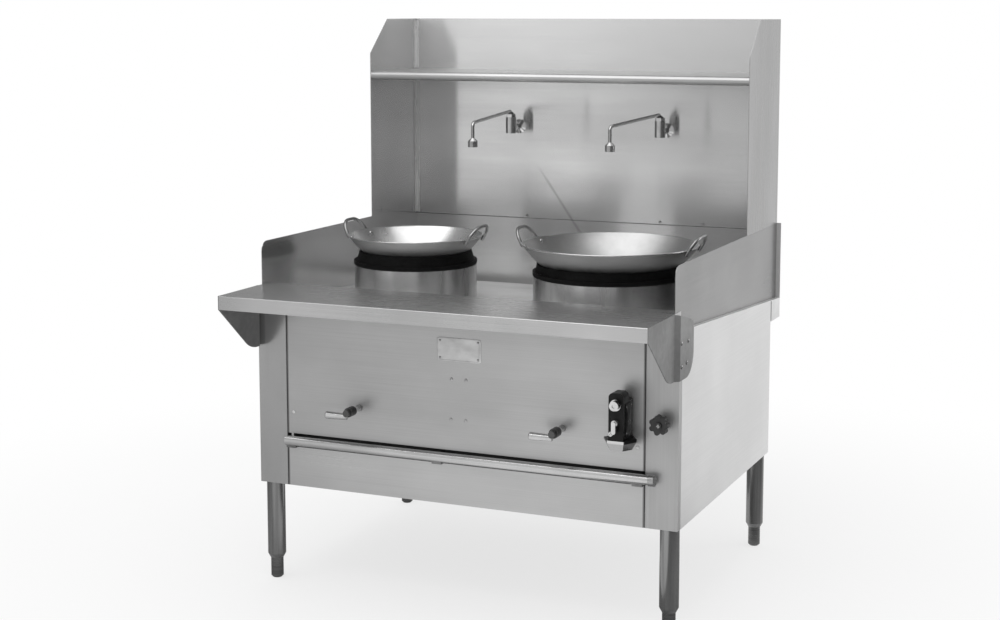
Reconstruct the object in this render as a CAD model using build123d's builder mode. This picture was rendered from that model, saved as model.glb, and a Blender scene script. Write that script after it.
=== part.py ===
from build123d import *
import math
import os

# Free-standing gas wok range for two woks, in stainless sheet on four pipe legs.
# +X is to the right seen from the front, +Y to the back and +Z up. The origin is on the
# floor, under the middle of the overall box.

# Overall sizes
body_width = 1219.0
overall_depth = 1200.0
overall_height = 1562.0
rear_overhang = 104.0
body_bottom = 280.0
sheet = 1.5
seat_gap = 0.3
running_clearance = 0.05

# Base frame, legs and feet
angle_leg = 38.0
angle_thickness = 4.0
leg_pad = 56.0
leg_inset = 30.0
leg_diameter = 50.8
leg_wall = 3.0
leg_end_diameter = 38.0
leg_taper = 12.0
leg_end_length = 40.0
foot_height = 58.0
foot_diameter = 35.0
foot_chamfer = 5.0
foot_screw_diameter = 20.0
foot_screw_length = 90.0
foot_travel_gap = 0.2

# Front shelf and gussets
shelf_overhang = 217.0
shelf_rise = 47.0
shelf_lip = 37.0
shelf_inset = 12.0
shelf_hem = 14.0
shelf_back = 45.0
shelf_corner = 3.0
gusset_thickness = 2.5
gusset_drop = 170.0
gusset_reach = 108.0
gusset_tip = 59.0
gusset_tip_radius = 90.0
gusset_rear_radius = 62.0
gusset_top_radius = 25.0
gusset_fall = 31.0
gusset_joggle = 14.0

# Deck and rear gutter
deck_sheet = 2.0
deck_front_height = 791.0
deck_slope = 3.65
deck_tuck = 18.0
gutter_setback = 11.0
gutter_depth = 115.0
drain_diameter = 48.0
drain_wall = 2.0
drain_flange = 9.0
drain_length = 60.0
drain_nut = 8.0

# Splashes, wings and upper unit
splash_inset = 13.0
splash_rise = 166.0
splash_corner = 28.0
back_cavity = 18.0
seam_rise = 145.0
wing_depth = 331.0
wing_cut_height = 104.0
wing_cut_depth = 115.0
overhead_drop = 159.0
overhead_roll = 25.0
overhead_flange = 24.0

# Posts, panels and the front rail
post_width = 88.0
post_return = 22.0
post_wrap = 20.0
panel_seam = 2.0
panel_return = 16.0
slot_rise = 110.0
slot_opening = 38.0
slot_depth = 30.0
rail_rise = 130.5
rail_diameter = 26.7
rail_wall = 2.9
rail_standoff = 16.0
rail_left_inset = 93.5
rail_right_inset = 72.0
saddle_width = 28.0
saddle_depth = 14.0
saddle_left_inset = 14.0
saddle_right_inset = 32.5
saddle_middle_share = -0.0476
cap_radius = 15.2
cap_length = 18.0
cap_corner = 4.0
spigot_length = 20.0

# Rear panel
vent_rows = 5
vent_columns = 2
vent_length = 260.0
vent_width = 10.0
vent_pitch = 26.0
vent_spread_share = 0.42658
vent_rise = 280.0

# Fire chambers
burner_offset_share = 0.242822
burner_setback_share = 0.39818
collar_rise = 80.0
collar_wall = 2.0
collar_radius = {"left": 174.7, "right": 210.7}
chamber_flange = 3.0
chamber_wall = 3.0
chamber_gap = 4.3
chamber_depth = 281.0
deck_hole_gap = 2.0
lining_thickness = 40.0
lining_floor = 30.0
lining_drop = 40.0
burner_hole_radius = 95.0

# Wok rings and woks
ring_overhang = 1.5
ring_flange = 10.0
ring_wall = 9.0
ring_lip_drop = 9.0
ring_lip_wall = 5.0
ring_lip_inset = 16.0
ring_seat = 14.0
ring_rise = {"left": 37.0, "right": 31.0}
wok_radius = {"left": 193.0, "right": 243.0}
wok_depth = {"left": 104.0, "right": 128.0}
wok_rise = {"left": 81.0, "right": 85.0}
wok_wall = 2.0
handle_rod = 9.0
handle_spread = 118.0
handle_top_spread = 104.0
handle_rise = 33.0
handle_drop = 14.0
handle_lean = 0.62
handle_corner = 44.0

# Burners, valves and gas pipe
head_radius = 80.0
head_rise = 14.0
head_drop = 30.0
burner_flange_radius = 106.0
burner_flange = 6.0
riser_radius = 25.0
elbow_radius = 29.0
jet_radius = 8.0
jet_height = 24.0
jet_bore = 5.0
jet_pitch = 30.0
jet_rows = 3
jet_count = 6
venturi_drop = 72.0
venturi_mouth = 122.0
venturi_bell = 34.0
venturi_throat = 20.0
venturi_wall = 5.0
mouth_flange_radius = 44.0
mouth_flange = 6.0
venturi_bell_length = 70.0
shutter_thickness = 3.0
shutter_windows = 4
shutter_window = 13.0
shutter_window_circle = 27.0
spud_radius = 9.0
spud_length = 48.0
valve_radius = 19.0
valve_front = 9.0
valve_back = 76.0
bushing_radius = 9.0
bushing_reach = 7.0
stem_radius = 5.0
stem_depth = 30.0
nipple_radius = 10.0
manifold_diameter = 33.4
manifold_wall = 3.4
manifold_setback = 48.0
manifold_drop = 63.0
manifold_end_reach = 44.0
manifold_side_inset = 109.5
manifold_bend = 48.0
manifold_stub = 44.0
inlet_nipple = 26.0
coupling_wall = 5.0
coupling_length = 14.0
branch_bend = 20.0
gas_hole_gap = 2.0

# Knee levers
lever_hub_radius = 13.0
lever_hub_length = 24.0
lever_hub_gap = 32.0
lever_boss_radius = 9.0
lever_boss_length = 15.0
lever_length = 64.0
lever_drop = 10.0
grip_radius = 10.5
grip_neck_radius = 8.5
grip_corner = 4.0

# Pilot safety valve
safety_inset = 140.1
safety_drop = 26.0
safety_nut_height = 22.0
safety_nut_width = 55.0
safety_collar_height = 5.0
safety_collar_width = 76.0
safety_body_width = 39.2
safety_body_depth = 70.0
safety_body_rise = 101.0
safety_body_corner = 6.0
safety_head_depth = 42.0
safety_head_rise = 123.0
safety_head_corner = 12.0
safety_standoff = 43.0
safety_port_rise = 42.0
button_rise = 93.0
button_radius = 12.0
button_dish = 5.0
button_travel = 6.0
button_guide_radius = 6.0
button_guide_length = 16.0
bezel_radius = 14.5
bezel_length = 5.0
cock_rise = 48.0
cock_hub_radius = 8.0
cock_hub_length = 12.0
cock_length = 32.0
cock_width = 11.0
cock_thickness = 7.0

# Water valve, knob and pipes
knob_inset = 39.5
knob_rise = 42.0
knob_radius = 20.0
knob_lobe_radius = 7.0
knob_lobe_circle = 18.5
knob_lobes = 7
knob_length = 22.0
knob_gap = 16.0
knob_boss_radius = 9.0
knob_boss_length = 4.0
water_valve_radius = 17.0
water_valve_length = 66.0
water_pipe_diameter = 12.7
water_bend = 22.0
inlet_diameter = 21.3
inlet_drop = 90.0
inlet_stub = 44.0

# Faucets and spouts
faucet_share = {"left": -0.1904, "right": 0.20894}
faucet_drop = 336.5
faucet_standoff = 70.0
faucet_flange_radius = 22.0
faucet_flange = 7.0
faucet_shank_radius = 9.0
faucet_body_radius = 16.0
faucet_body_drop = 17.0
faucet_body_rise = 33.0
faucet_nut_width = 26.0
faucet_nut_height = 9.0
faucet_tail_radius = 6.0
spout_tube = 10.0
spout_rise = 52.0
spout_droop = 12.6
spout_reach = 400.0
spout_corner = 14.0
spout_nozzle_drop = 44.0
spout_tip_radius = 14.0
spout_tip_length = 26.0
spout_angle = {"left": 7.1, "right": -2.05}
spout_stem_radius = 8.0
spout_stem_depth = 24.0
spout_collar_radius = 12.0
spout_collar_height = 7.0

# Places worked out from those sizes
half_width = body_width / 2
side_inner = half_width - sheet
body_depth = overall_depth - shelf_overhang - rear_overhang
shelf_front = -overall_depth / 2
front = shelf_front + shelf_overhang
rear = overall_depth / 2
body_rear = front + body_depth
body_middle = (front + body_rear) / 2
shelf_rear = front + shelf_back
shelf_half = half_width - shelf_inset
shelf_top = deck_front_height + shelf_rise
gutter_floor = deck_front_height - gutter_depth
seam_height = deck_front_height + seam_rise
splash_top = deck_front_height + splash_rise
collar_top = deck_front_height + collar_rise
chamber_bottom = collar_top - chamber_depth
head_height = chamber_bottom + head_rise
head_base = chamber_bottom - head_drop
venturi_height = chamber_bottom - venturi_drop
manifold_height = venturi_height - manifold_drop
manifold_side = half_width - manifold_side_inset
slot_bottom = body_bottom + slot_rise
slot_top = slot_bottom + slot_opening
rail_height = body_bottom + rail_rise
rail_left = rail_left_inset - half_width
rail_right = half_width - rail_right_inset
overhead_height = overall_height - overhead_drop
shelf_under = shelf_top - sheet
lip_bottom = shelf_top - shelf_lip
panel_half = half_width - post_width - panel_seam
splash_outer = half_width - splash_inset
splash_inner = splash_outer - sheet
back_face = rear - back_cavity
wing_front = rear - wing_depth
gutter_front = body_rear + gutter_setback
deck_rise = math.tan(math.radians(deck_slope))
deck_plumb = deck_sheet / math.cos(math.radians(deck_slope))
burner_offset = burner_offset_share * body_width
burner_y = front + burner_setback_share * body_depth
manifold_y = front + manifold_setback
rail_y = front - rail_standoff
safety_y = front - safety_standoff
safety_offset = half_width - safety_inset
safety_bottom = venturi_height - safety_drop
safety_port_height = venturi_height + safety_port_rise
button_height = venturi_height + button_rise
cock_height = venturi_height + cock_rise
knob_offset = half_width - knob_inset
knob_height = venturi_height + knob_rise
inlet_height = knob_height - inlet_drop
faucet_height = overall_height - faucet_drop
faucet_body_bottom = faucet_height - faucet_body_drop
faucet_body_top = faucet_height + faucet_body_rise
faucet_y = back_face - faucet_standoff
pipe_y = rear - sheet - (back_cavity - 2 * sheet) / 2
sides = (("left", -1), ("right", 1))
leg_places = [(x * (half_width - leg_inset), body_middle + y * (body_depth / 2 - leg_inset))
              for y in (-1, 1) for x in (-1, 1)]


def deck_z(y):
    """Height of the deck's top face at depth y: it falls towards the rear gutter."""
    return deck_front_height - (y - shelf_rear) * deck_rise


def front_plane(y):
    """Upright plane seen from the front: local x is X, local y is Z, outward is to the front."""
    return Plane(origin=(0, y, 0), x_dir=(1, 0, 0), z_dir=(0, -1, 0))


def radial_plane(x, y, z=0.0):
    """Upright plane through a vertical axis: local x is the radius, local y is the height."""
    return Plane(origin=(x, y, z), x_dir=(1, 0, 0), z_dir=(0, -1, 0))


def stem_plane(x, z):
    """Level plane through a stem that runs front to back: local x is the radius, local y is Y."""
    return Plane(origin=(x, 0, z), x_dir=(1, 0, 0), z_dir=(0, 0, 1))


def face_of(*points):
    """Closed straight-sided face in the current sketch."""
    with BuildLine() as border:
        Polyline(*points, close=True)
    make_face(border.edges())


def bent_sheet(points, thickness):
    """Outline of a folded sheet: the line given, and the same line set off to its right, mitred."""
    directions = []
    for (x0, y0), (x1, y1) in zip(points, points[1:]):
        length = math.hypot(x1 - x0, y1 - y0)
        directions.append(((x1 - x0) / length, (y1 - y0) / length))
    other = []
    for i, (x, y) in enumerate(points):
        before = directions[max(i - 1, 0)]
        after = directions[min(i, len(directions) - 1)]
        nx, ny = before[1] + after[1], -before[0] - after[0]
        scale = thickness / (1 + before[0] * after[0] + before[1] * after[1])
        other.append((x + nx * scale, y + ny * scale))
    return list(points) + other[::-1]


def turned(axis_plane, axis, points, mode=Mode.ADD):
    """Solid of revolution in the current part from a straight-sided half profile."""
    with BuildSketch(axis_plane) as profile:
        face_of(*points)
    revolve(profile.sketch, axis=axis, mode=mode)


def save(piece, label):
    """Names a finished piece and writes its file."""
    piece.part.label = label
    export_step(piece.part, f"parts/{label}.step")


os.makedirs("parts", exist_ok=True)

# Base frame: a welded ring of angle with a pad over each leg
with BuildPart() as base_frame:
    frame_width = body_width - 2 * sheet
    frame_depth = body_depth - 2 * sheet
    with BuildSketch(Plane.XY.offset(body_bottom)):
        with Locations((0, body_middle)):
            Rectangle(frame_width, frame_depth)
            Rectangle(frame_width - 2 * angle_thickness, frame_depth - 2 * angle_thickness,
                      mode=Mode.SUBTRACT)
    extrude(amount=angle_leg)
    with BuildSketch(Plane.XY.offset(body_bottom)):
        with Locations((0, body_middle)):
            Rectangle(frame_width, frame_depth)
            Rectangle(frame_width - 2 * angle_leg, frame_depth - 2 * angle_leg, mode=Mode.SUBTRACT)
        with Locations(*leg_places):
            Rectangle(leg_pad, leg_pad)
    extrude(amount=angle_thickness)
save(base_frame, "base_frame")

# Pipe legs: a tube with a tapered end piece, bored for the foot's screw
leg_bore = leg_diameter / 2 - leg_wall
screw_bore = foot_screw_diameter / 2 + running_clearance
leg_end = foot_height + foot_travel_gap
with BuildPart() as leg_form:
    turned(radial_plane(0, 0), Axis.Z, (
        (screw_bore, leg_end), (leg_end_diameter / 2, leg_end),
        (leg_diameter / 2, leg_end + leg_taper), (leg_diameter / 2, body_bottom),
        (leg_bore, body_bottom), (leg_bore, leg_end + leg_end_length),
        (screw_bore, leg_end + leg_end_length)))
with BuildPart() as pipe_legs:
    with Locations(*[(x, y, 0) for x, y in leg_places]):
        add(leg_form.part)
save(pipe_legs, "pipe_legs")

# Screw feet: a round pad with a screw that turns up into the leg
for (x, y), place in zip(leg_places, ("front_left", "front_right", "rear_left", "rear_right")):
    with BuildPart() as foot:
        turned(radial_plane(x, y), Axis((x, y, 0), (0, 0, 1)), (
            (0, 0), (foot_diameter / 2 - foot_chamfer, 0), (foot_diameter / 2, foot_chamfer),
            (foot_diameter / 2, foot_height), (foot_screw_diameter / 2, foot_height),
            (foot_screw_diameter / 2, foot_height + foot_screw_length),
            (0, foot_height + foot_screw_length)))
    save(foot, f"foot_{place}")

# Side panels: flat sheets whose top edges follow the fall of the deck
for side, sign in sides:
    with BuildPart() as side_panel:
        with BuildSketch(Plane.YZ.offset(min(sign * half_width, sign * side_inner))):
            panel_front = front + post_wrap + panel_seam
            face_of((panel_front, body_bottom), (body_rear, body_bottom),
                    (body_rear, deck_z(body_rear) - deck_plumb),
                    (panel_front, deck_z(panel_front) - deck_plumb))
        extrude(amount=sheet)
    save(side_panel, f"{side}_side_panel")

# Rear panel: vent slots, and holes for the gas and water pipes
with BuildPart() as rear_panel:
    rear_top = deck_z(body_rear) - deck_plumb
    with BuildSketch(front_plane(body_rear)):
        face_of((-side_inner, body_bottom), (side_inner, body_bottom), (side_inner, rear_top),
                (-side_inner, rear_top))
        with Locations((0, body_bottom + vent_rise)):
            with GridLocations(vent_spread_share * body_width, vent_pitch, vent_columns, vent_rows):
                SlotOverall(vent_length, vent_width, mode=Mode.SUBTRACT)
        with Locations((manifold_side, manifold_height)):
            Circle(manifold_diameter / 2 + gas_hole_gap, mode=Mode.SUBTRACT)
        with Locations((knob_offset, knob_height)):
            Circle(water_pipe_diameter / 2 + gas_hole_gap, mode=Mode.SUBTRACT)
        with Locations((knob_offset, inlet_height)):
            Circle(inlet_diameter / 2 + gas_hole_gap, mode=Mode.SUBTRACT)
    extrude(amount=sheet)
save(rear_panel, "rear_panel")

# Posts: a front face wrapped round the corner and folded back beside the front panel, notched over
# the base frame
for side, sign in sides:
    with BuildPart() as post:
        corner = half_width - post_width
        line = [(half_width, front + post_wrap), (half_width, front), (corner, front),
                (corner, front + post_return)]
        with BuildSketch(Plane.XY.offset(body_bottom)):
            face_of(*[(sign * x, y) for x, y in bent_sheet(line, sheet)])
        extrude(amount=lip_bottom - body_bottom)
        with Locations((sign * corner, front + sheet + post_return / 2, body_bottom + angle_leg / 2)):
            Box(4 * sheet, post_return, angle_leg + 2 * seat_gap, mode=Mode.SUBTRACT)
        if side == "right":
            with BuildSketch(front_plane(front + sheet)):
                with Locations((knob_offset, knob_height)):
                    Circle(bushing_radius + seat_gap)
            extrude(amount=2 * sheet, mode=Mode.SUBTRACT)
    save(post, f"{side}_post")

# Front panel: a tray with its sides and lower edge folded in, holed for the valves
with BuildPart() as front_panel:
    with BuildSketch(front_plane(front + sheet)):
        face_of((-panel_half, slot_top), (panel_half, slot_top), (panel_half, shelf_under),
                (-panel_half, shelf_under))
        with Locations((-burner_offset, venturi_height), (burner_offset, venturi_height)):
            Circle(bushing_radius + seat_gap, mode=Mode.SUBTRACT)
        with Locations((safety_offset, safety_port_height)):
            Circle(nipple_radius + seat_gap, mode=Mode.SUBTRACT)
    extrude(amount=sheet)
    with BuildSketch(front_plane(front + panel_return)):
        face_of(*bent_sheet([(-panel_half, shelf_under), (-panel_half, slot_top), (panel_half, slot_top),
                             (panel_half, shelf_under)], -sheet))
    extrude(amount=panel_return)
save(front_panel, "front_panel")

# Kick panel: a tray whose upper edge is folded in and up behind the air slot, so that air is drawn in
# over it
with BuildPart() as kick_panel:
    fold = [(front, body_bottom), (front, slot_bottom), (front + slot_depth, slot_bottom),
            (front + slot_depth, slot_top)]
    with BuildSketch(Plane.YZ.offset(-panel_half)):
        face_of(*bent_sheet(fold, sheet))
    extrude(amount=2 * panel_half)
    return_foot = body_bottom + angle_leg + seat_gap
    for edge in (-panel_half, panel_half - sheet):
        with BuildSketch(Plane.YZ.offset(edge)):
            face_of((front, return_foot), (front + panel_return, return_foot),
                    (front + panel_return, slot_bottom), (front, slot_bottom))
        extrude(amount=sheet)
save(kick_panel, "kick_panel")

# Deck: one folded sheet that falls to the rear, drops into the gutter and turns up behind it as high
# as the splashes
with BuildPart() as deck:
    deck_front = shelf_rear - deck_tuck
    gutter_rear = rear - deck_sheet
    fold = [(deck_front, deck_z(deck_front)), (gutter_front, deck_z(gutter_front)),
            (gutter_front, gutter_floor), (gutter_rear, gutter_floor), (gutter_rear, splash_top)]
    with BuildSketch(Plane.YZ.offset(-half_width)):
        face_of(*bent_sheet(fold, deck_sheet))
    extrude(amount=body_width)
    for end in (-half_width, half_width - deck_sheet):
        with BuildSketch(Plane.YZ.offset(end)):
            face_of((gutter_front, gutter_floor), (gutter_rear, gutter_floor),
                    (gutter_rear, deck_z(gutter_rear)), (gutter_front, deck_z(gutter_front)))
        extrude(amount=deck_sheet)
    for end in (-half_width, splash_inner):
        with BuildSketch(Plane.YZ.offset(end)):
            face_of((gutter_front, deck_z(gutter_front)), (gutter_rear, deck_z(gutter_rear)),
                    (gutter_rear, deck_z(gutter_rear) - deck_plumb),
                    (gutter_front, deck_z(gutter_front) - deck_plumb))
        extrude(amount=half_width - splash_inner)
    for side, sign in sides:
        with BuildSketch(Plane.XY.offset(gutter_floor)):
            with Locations((sign * burner_offset, burner_y)):
                Circle(collar_radius[side] - collar_wall - deck_hole_gap)
        extrude(amount=deck_front_height - gutter_floor + deck_plumb, mode=Mode.SUBTRACT)
    with BuildSketch(Plane.XY.offset(gutter_floor - 2 * deck_sheet)):
        with Locations((0, (gutter_front + back_face) / 2)):
            Circle(drain_diameter / 2 + seat_gap)
        with Locations((knob_offset, pipe_y)):
            Circle(water_pipe_diameter / 2 + seat_gap)
    extrude(amount=3 * deck_sheet, mode=Mode.SUBTRACT)
save(deck, "deck")

# Drain tail: a flanged tube in the gutter's floor for the waste pipe, held by a nut from below
with BuildPart() as drain_tail:
    drain_y = (gutter_front + back_face) / 2
    tube = drain_diameter / 2
    floor_under = gutter_floor - deck_sheet
    turned(radial_plane(0, drain_y), Axis((0, drain_y, 0), (0, 0, 1)), (
        (tube - drain_wall, gutter_floor - drain_length), (tube, gutter_floor - drain_length),
        (tube, floor_under - drain_nut), (tube + drain_flange, floor_under - drain_nut),
        (tube + drain_flange, floor_under), (tube, floor_under), (tube, gutter_floor),
        (tube + drain_flange, gutter_floor), (tube + drain_flange, gutter_floor + drain_wall),
        (tube - drain_wall, gutter_floor + drain_wall)))
save(drain_tail, "drain_tail")

# Front shelf: an open-bottomed tray, its rear wall reaching down to the deck
with BuildPart() as front_shelf:
    with BuildSketch(Plane.XY.offset(lip_bottom)):
        with Locations((0, (shelf_front + shelf_rear) / 2)):
            Rectangle(2 * shelf_half, shelf_rear - shelf_front)
    extrude(amount=shelf_lip)
    front_edges = front_shelf.edges().group_by(Axis.Y)[0].filter_by(Axis.X).sort_by(Axis.Z)[-1:]
    fillet(front_edges, radius=shelf_corner)
    offset(amount=-sheet, openings=front_shelf.faces().sort_by(Axis.Z)[0])
    rear_foot = deck_z(shelf_rear - sheet)
    with BuildSketch(Plane.XY.offset(rear_foot)):
        with Locations((0, shelf_rear - sheet / 2)):
            Rectangle(2 * shelf_half, sheet)
    extrude(amount=lip_bottom - rear_foot)
    with BuildSketch(Plane.XY.offset(lip_bottom)):
        with Locations((0, shelf_front + shelf_hem / 2)):
            Rectangle(2 * shelf_half, shelf_hem)
    extrude(amount=sheet)
save(front_shelf, "front_shelf")

# Gussets: plates over the shelf's ends, joggled out to lie on the body's sides
for side, sign in sides:
    with BuildPart() as gusset:
        line = [(shelf_half, shelf_front), (shelf_half, front - gusset_joggle), (half_width, front - sheet),
                (half_width, front + gusset_reach)]
        tip_height = shelf_top - gusset_drop
        with BuildSketch(Plane.XY.offset(tip_height)):
            face_of(*[(sign * x, y) for x, y in bent_sheet(line, gusset_thickness)])
        extrude(amount=gusset_drop)
        with BuildSketch(Plane.YZ.offset(-body_width)) as gusset_side:
            face_of((shelf_front, shelf_top), (shelf_front, lip_bottom), (front - gusset_tip, tip_height),
                    (front + gusset_reach, tip_height), (front + gusset_reach, shelf_top - gusset_fall),
                    (front - gusset_joggle, shelf_top))
            tip = gusset_side.vertices().group_by(Axis.Y)[0].sort_by(Axis.X)
            fillet(tip[:1], radius=gusset_tip_radius)
            back = gusset_side.vertices().group_by(Axis.X)[-1].sort_by(Axis.Y)
            fillet(back[:1], radius=gusset_rear_radius)
            back = gusset_side.vertices().group_by(Axis.X)[-1].sort_by(Axis.Y)
            fillet(back[-1:], radius=gusset_top_radius)
        extrude(amount=2 * body_width, mode=Mode.INTERSECT)
    save(gusset, f"{side}_gusset")

# End splashes: sheets that stand on the shelf and the deck, with a rounded front corner
for side, sign in sides:
    with BuildPart() as end_splash:
        with BuildSketch(Plane.YZ.offset(min(sign * splash_outer, sign * splash_inner))) as splash_side:
            face_of((front, shelf_top), (shelf_rear, shelf_top), (shelf_rear, deck_z(shelf_rear)),
                    (gutter_rear, deck_z(gutter_rear)), (gutter_rear, splash_top), (front, splash_top))
            top_front = splash_side.vertices().group_by(Axis.Y)[-1].sort_by(Axis.X)[:1]
            fillet(top_front, radius=splash_corner)
        extrude(amount=sheet)
    save(end_splash, f"{side}_end_splash")

# Rear splash: the sheet between gutter and seam
with BuildPart() as rear_splash:
    with BuildSketch(front_plane(back_face + sheet)):
        face_of((-splash_inner, gutter_floor), (splash_inner, gutter_floor), (splash_inner, seam_height),
                (-splash_inner, seam_height))
    extrude(amount=sheet)
save(rear_splash, "rear_splash")

# Backsplash: the tall sheet above the seam, folded back over the cavity at its top
with BuildPart() as backsplash:
    fold = [(back_face, seam_height), (back_face, overall_height), (rear - sheet, overall_height)]
    with BuildSketch(Plane.YZ.offset(-splash_inner)):
        face_of(*bent_sheet(fold, sheet))
    extrude(amount=2 * splash_inner)
    with BuildSketch(front_plane(back_face + sheet)):
        with Locations(*[(faucet_share[side] * body_width, faucet_height) for side, sign in sides]):
            Circle(faucet_tail_radius + seat_gap)
    extrude(amount=2 * sheet, mode=Mode.SUBTRACT)
save(backsplash, "backsplash")

# Wings: the upper sides, with the top front corner cut off
for side, sign in sides:
    with BuildPart() as wing:
        with BuildSketch(Plane.YZ.offset(min(sign * splash_outer, sign * splash_inner))):
            face_of((wing_front, splash_top), (rear, splash_top), (rear, overall_height),
                    (wing_front + wing_cut_depth, overall_height),
                    (wing_front, overall_height - wing_cut_height))
        extrude(amount=sheet)
    save(wing, f"{side}_wing")

# Overhead shelf: a sheet between the wings, rolled round at its front edge and turned down behind
with BuildPart() as overhead_shelf:
    roll = overhead_roll / 2
    with BuildSketch(Plane.YZ.offset(-splash_inner)):
        with Locations((wing_front + roll, overhead_height - roll)):
            Circle(roll)
            Circle(roll - sheet, mode=Mode.SUBTRACT)
        face_of(*bent_sheet([(wing_front + roll, overhead_height), (back_face, overhead_height),
                             (back_face, overhead_height - overhead_flange)], sheet))
    extrude(amount=2 * splash_inner)
save(overhead_shelf, "overhead_shelf")

# Back cover: the rear sheet of the upper unit, standing on the gutter's rear wall
with BuildPart() as back_cover:
    with BuildSketch(front_plane(rear)):
        face_of((-splash_inner, splash_top), (splash_inner, splash_top), (splash_inner, overall_height),
                (-splash_inner, overall_height))
    extrude(amount=sheet)
save(back_cover, "back_cover")

# Front rail: a pipe across the front in front of the air slot
with BuildPart() as front_rail:
    with BuildSketch(Plane.YZ.offset(rail_left)):
        with Locations((rail_y, rail_height)):
            Circle(rail_diameter / 2)
            Circle(rail_diameter / 2 - rail_wall, mode=Mode.SUBTRACT)
    extrude(amount=rail_right - rail_left)
save(front_rail, "front_rail")

# Rail saddles: blocks on the slot's ledge, hollowed for the pipe, which lies in front of them
with BuildPart() as rail_saddles:
    for place in (rail_left + saddle_left_inset, saddle_middle_share * body_width,
                  rail_right - saddle_right_inset):
        with BuildSketch(Plane.YZ.offset(place - saddle_width / 2)):
            face_of((rail_y, slot_bottom), (front + saddle_depth, slot_bottom),
                    (front + saddle_depth, rail_height), (rail_y, rail_height))
            with Locations((rail_y, rail_height)):
                Circle(rail_diameter / 2 + seat_gap, mode=Mode.SUBTRACT)
        extrude(amount=saddle_width)
save(rail_saddles, "rail_saddles")

# Rail cap: a round cap with a rounded end, on a spigot in the pipe's right end
with BuildPart() as rail_cap:
    cap_seat = (rail_right, rail_y, rail_height)
    with BuildSketch(Plane(origin=cap_seat, x_dir=(1, 0, 0), z_dir=(0, -1, 0))) as half:
        face_of((0, 0), (cap_length, 0), (cap_length, cap_radius), (0, cap_radius))
        fillet(half.vertices().group_by(Axis.X)[-1].sort_by(Axis.Y)[-1:], radius=cap_corner)
    revolve(axis=Axis(cap_seat, (1, 0, 0)))
    with BuildSketch(Plane.YZ.offset(rail_right)):
        with Locations((rail_y, rail_height)):
            Circle(rail_diameter / 2 - rail_wall - running_clearance)
    extrude(amount=-spigot_length)
save(rail_cap, "rail_cap")

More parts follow.
